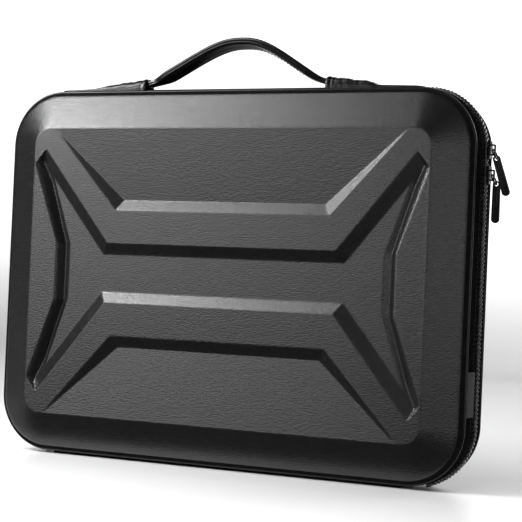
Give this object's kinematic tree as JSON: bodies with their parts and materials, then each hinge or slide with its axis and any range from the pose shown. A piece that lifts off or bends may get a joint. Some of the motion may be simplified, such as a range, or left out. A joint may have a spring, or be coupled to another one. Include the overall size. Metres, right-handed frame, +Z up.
{
  "type": "laptop hard case",
  "caption": "Black hard-shell laptop case with a pressed faceted panel, a zip round three sides and a carrying handle.",
  "frame": {"origin": "middle of the hinge side's underside, in the zip plane, where the case stands", "axes": "+X to the right along the width, +Y from the front panel to the rear panel, +Z up towards the handle"},
  "size_m": [0.4202, 0.068, 0.335],
  "materials": {
    "shell_skin": "brushed satin leatherette on moulded foam",
    "band_leather": "fine grained leatherette",
    "piping_leather": "rolled leatherette",
    "handle_leather": "glossy leatherette",
    "lining_fleece": "short fleece",
    "zip_tape": "woven tape",
    "zip_teeth": "moulded teeth",
    "elastic": "woven elastic",
    "pocket_net": "open net",
    "tag_fabric": "satin ribbon",
    "slider_metal": "black lacquer"
  },
  "bodies": {
    "rear_half": {"rear_shell": "shell_skin", "rear_lining": "lining_fleece", "rear_piping": "piping_leather", "rear_zip_tape": "zip_tape", "rear_zip_chain": "zip_teeth", "rear_hinge_tape": "zip_tape", "rear_foot_strip": "band_leather", "rear_gusset_top": "band_leather", "rear_gusset_bottom": "band_leather", "rear_gusset_left": "band_leather", "rear_gusset_right": "band_leather", "zip_end_stops": "slider_metal", "laptop_strap_left": "elastic", "laptop_strap_right": "elastic"},
    "front_half": {"front_shell": "shell_skin", "front_lining": "lining_fleece", "front_piping": "piping_leather", "front_zip_tape": "zip_tape", "front_zip_chain": "zip_teeth", "front_hinge_tape": "zip_tape", "front_foot_strip": "band_leather", "front_gusset_top": "band_leather", "front_gusset_bottom": "band_leather", "front_gusset_left": "band_leather", "front_gusset_right": "band_leather", "pocket_mesh": "pocket_net", "pocket_binding": "elastic", "side_tag": "tag_fabric", "handle_base": "handle_leather", "handle_tab_left": "handle_leather", "handle_tab_right": "handle_leather"},
    "handle": {"handle_upper_ply": "handle_leather", "handle_lower_ply": "handle_leather", "handle_ends": "handle_leather"},
    "upper_slider": {"upper_slider_body": "slider_metal", "upper_slider_crown": "slider_metal"},
    "upper_ring": {"upper_pull_ring": "slider_metal"},
    "upper_pull": {"upper_pull": "slider_metal"},
    "lower_slider": {"lower_slider_body": "slider_metal", "lower_slider_crown": "slider_metal"},
    "lower_ring": {"lower_pull_ring": "slider_metal"},
    "lower_pull": {"lower_pull": "slider_metal"}
  },
  "joints": [
    {"name": "lid_hinge", "type": "hinge", "parent": "rear_half", "child": "front_half", "pos_m": [0, 0, -0.0003], "axis": [1, 0, 0], "range_deg": [0, 180]},
    {"name": "handle_swing", "type": "hinge", "parent": "front_half", "child": "handle", "pos_m": [0, -0.0122, 0.30041], "axis": [1, 0, 0], "range_deg": [-45, 45]},
    {"name": "upper_slider_turn", "type": "hinge", "parent": "rear_half", "child": "upper_slider", "pos_m": [0.1542, 0, 0.2508], "axis": [0, -1, 0], "range_deg": [0, 90]},
    {"name": "lower_slider_run", "type": "slide", "parent": "rear_half", "child": "lower_slider", "axis": [0, 0, -1], "range_m": [0, 0.177]},
    {"name": "upper_ring_swing", "type": "hinge", "parent": "upper_slider", "child": "upper_ring", "pos_m": [0.20475, 0, 0.2513], "axis": [0, -1, 0], "range_deg": [0, 90]},
    {"name": "upper_pull_swing", "type": "hinge", "parent": "upper_ring", "child": "upper_pull", "pos_m": [0.20813, -0.00125, 0.24405], "axis": [0, -1, 0], "range_deg": [0, 90]},
    {"name": "lower_ring_swing", "type": "hinge", "parent": "lower_slider", "child": "lower_ring", "pos_m": [0.20475, 0, 0.2327], "axis": [0, -1, 0], "range_deg": [0, 15]},
    {"name": "lower_pull_swing", "type": "hinge", "parent": "lower_ring", "child": "lower_pull", "pos_m": [0.20813, 0.00125, 0.22545], "axis": [0, -1, 0], "range_deg": [-6, 90]}
  ]
}
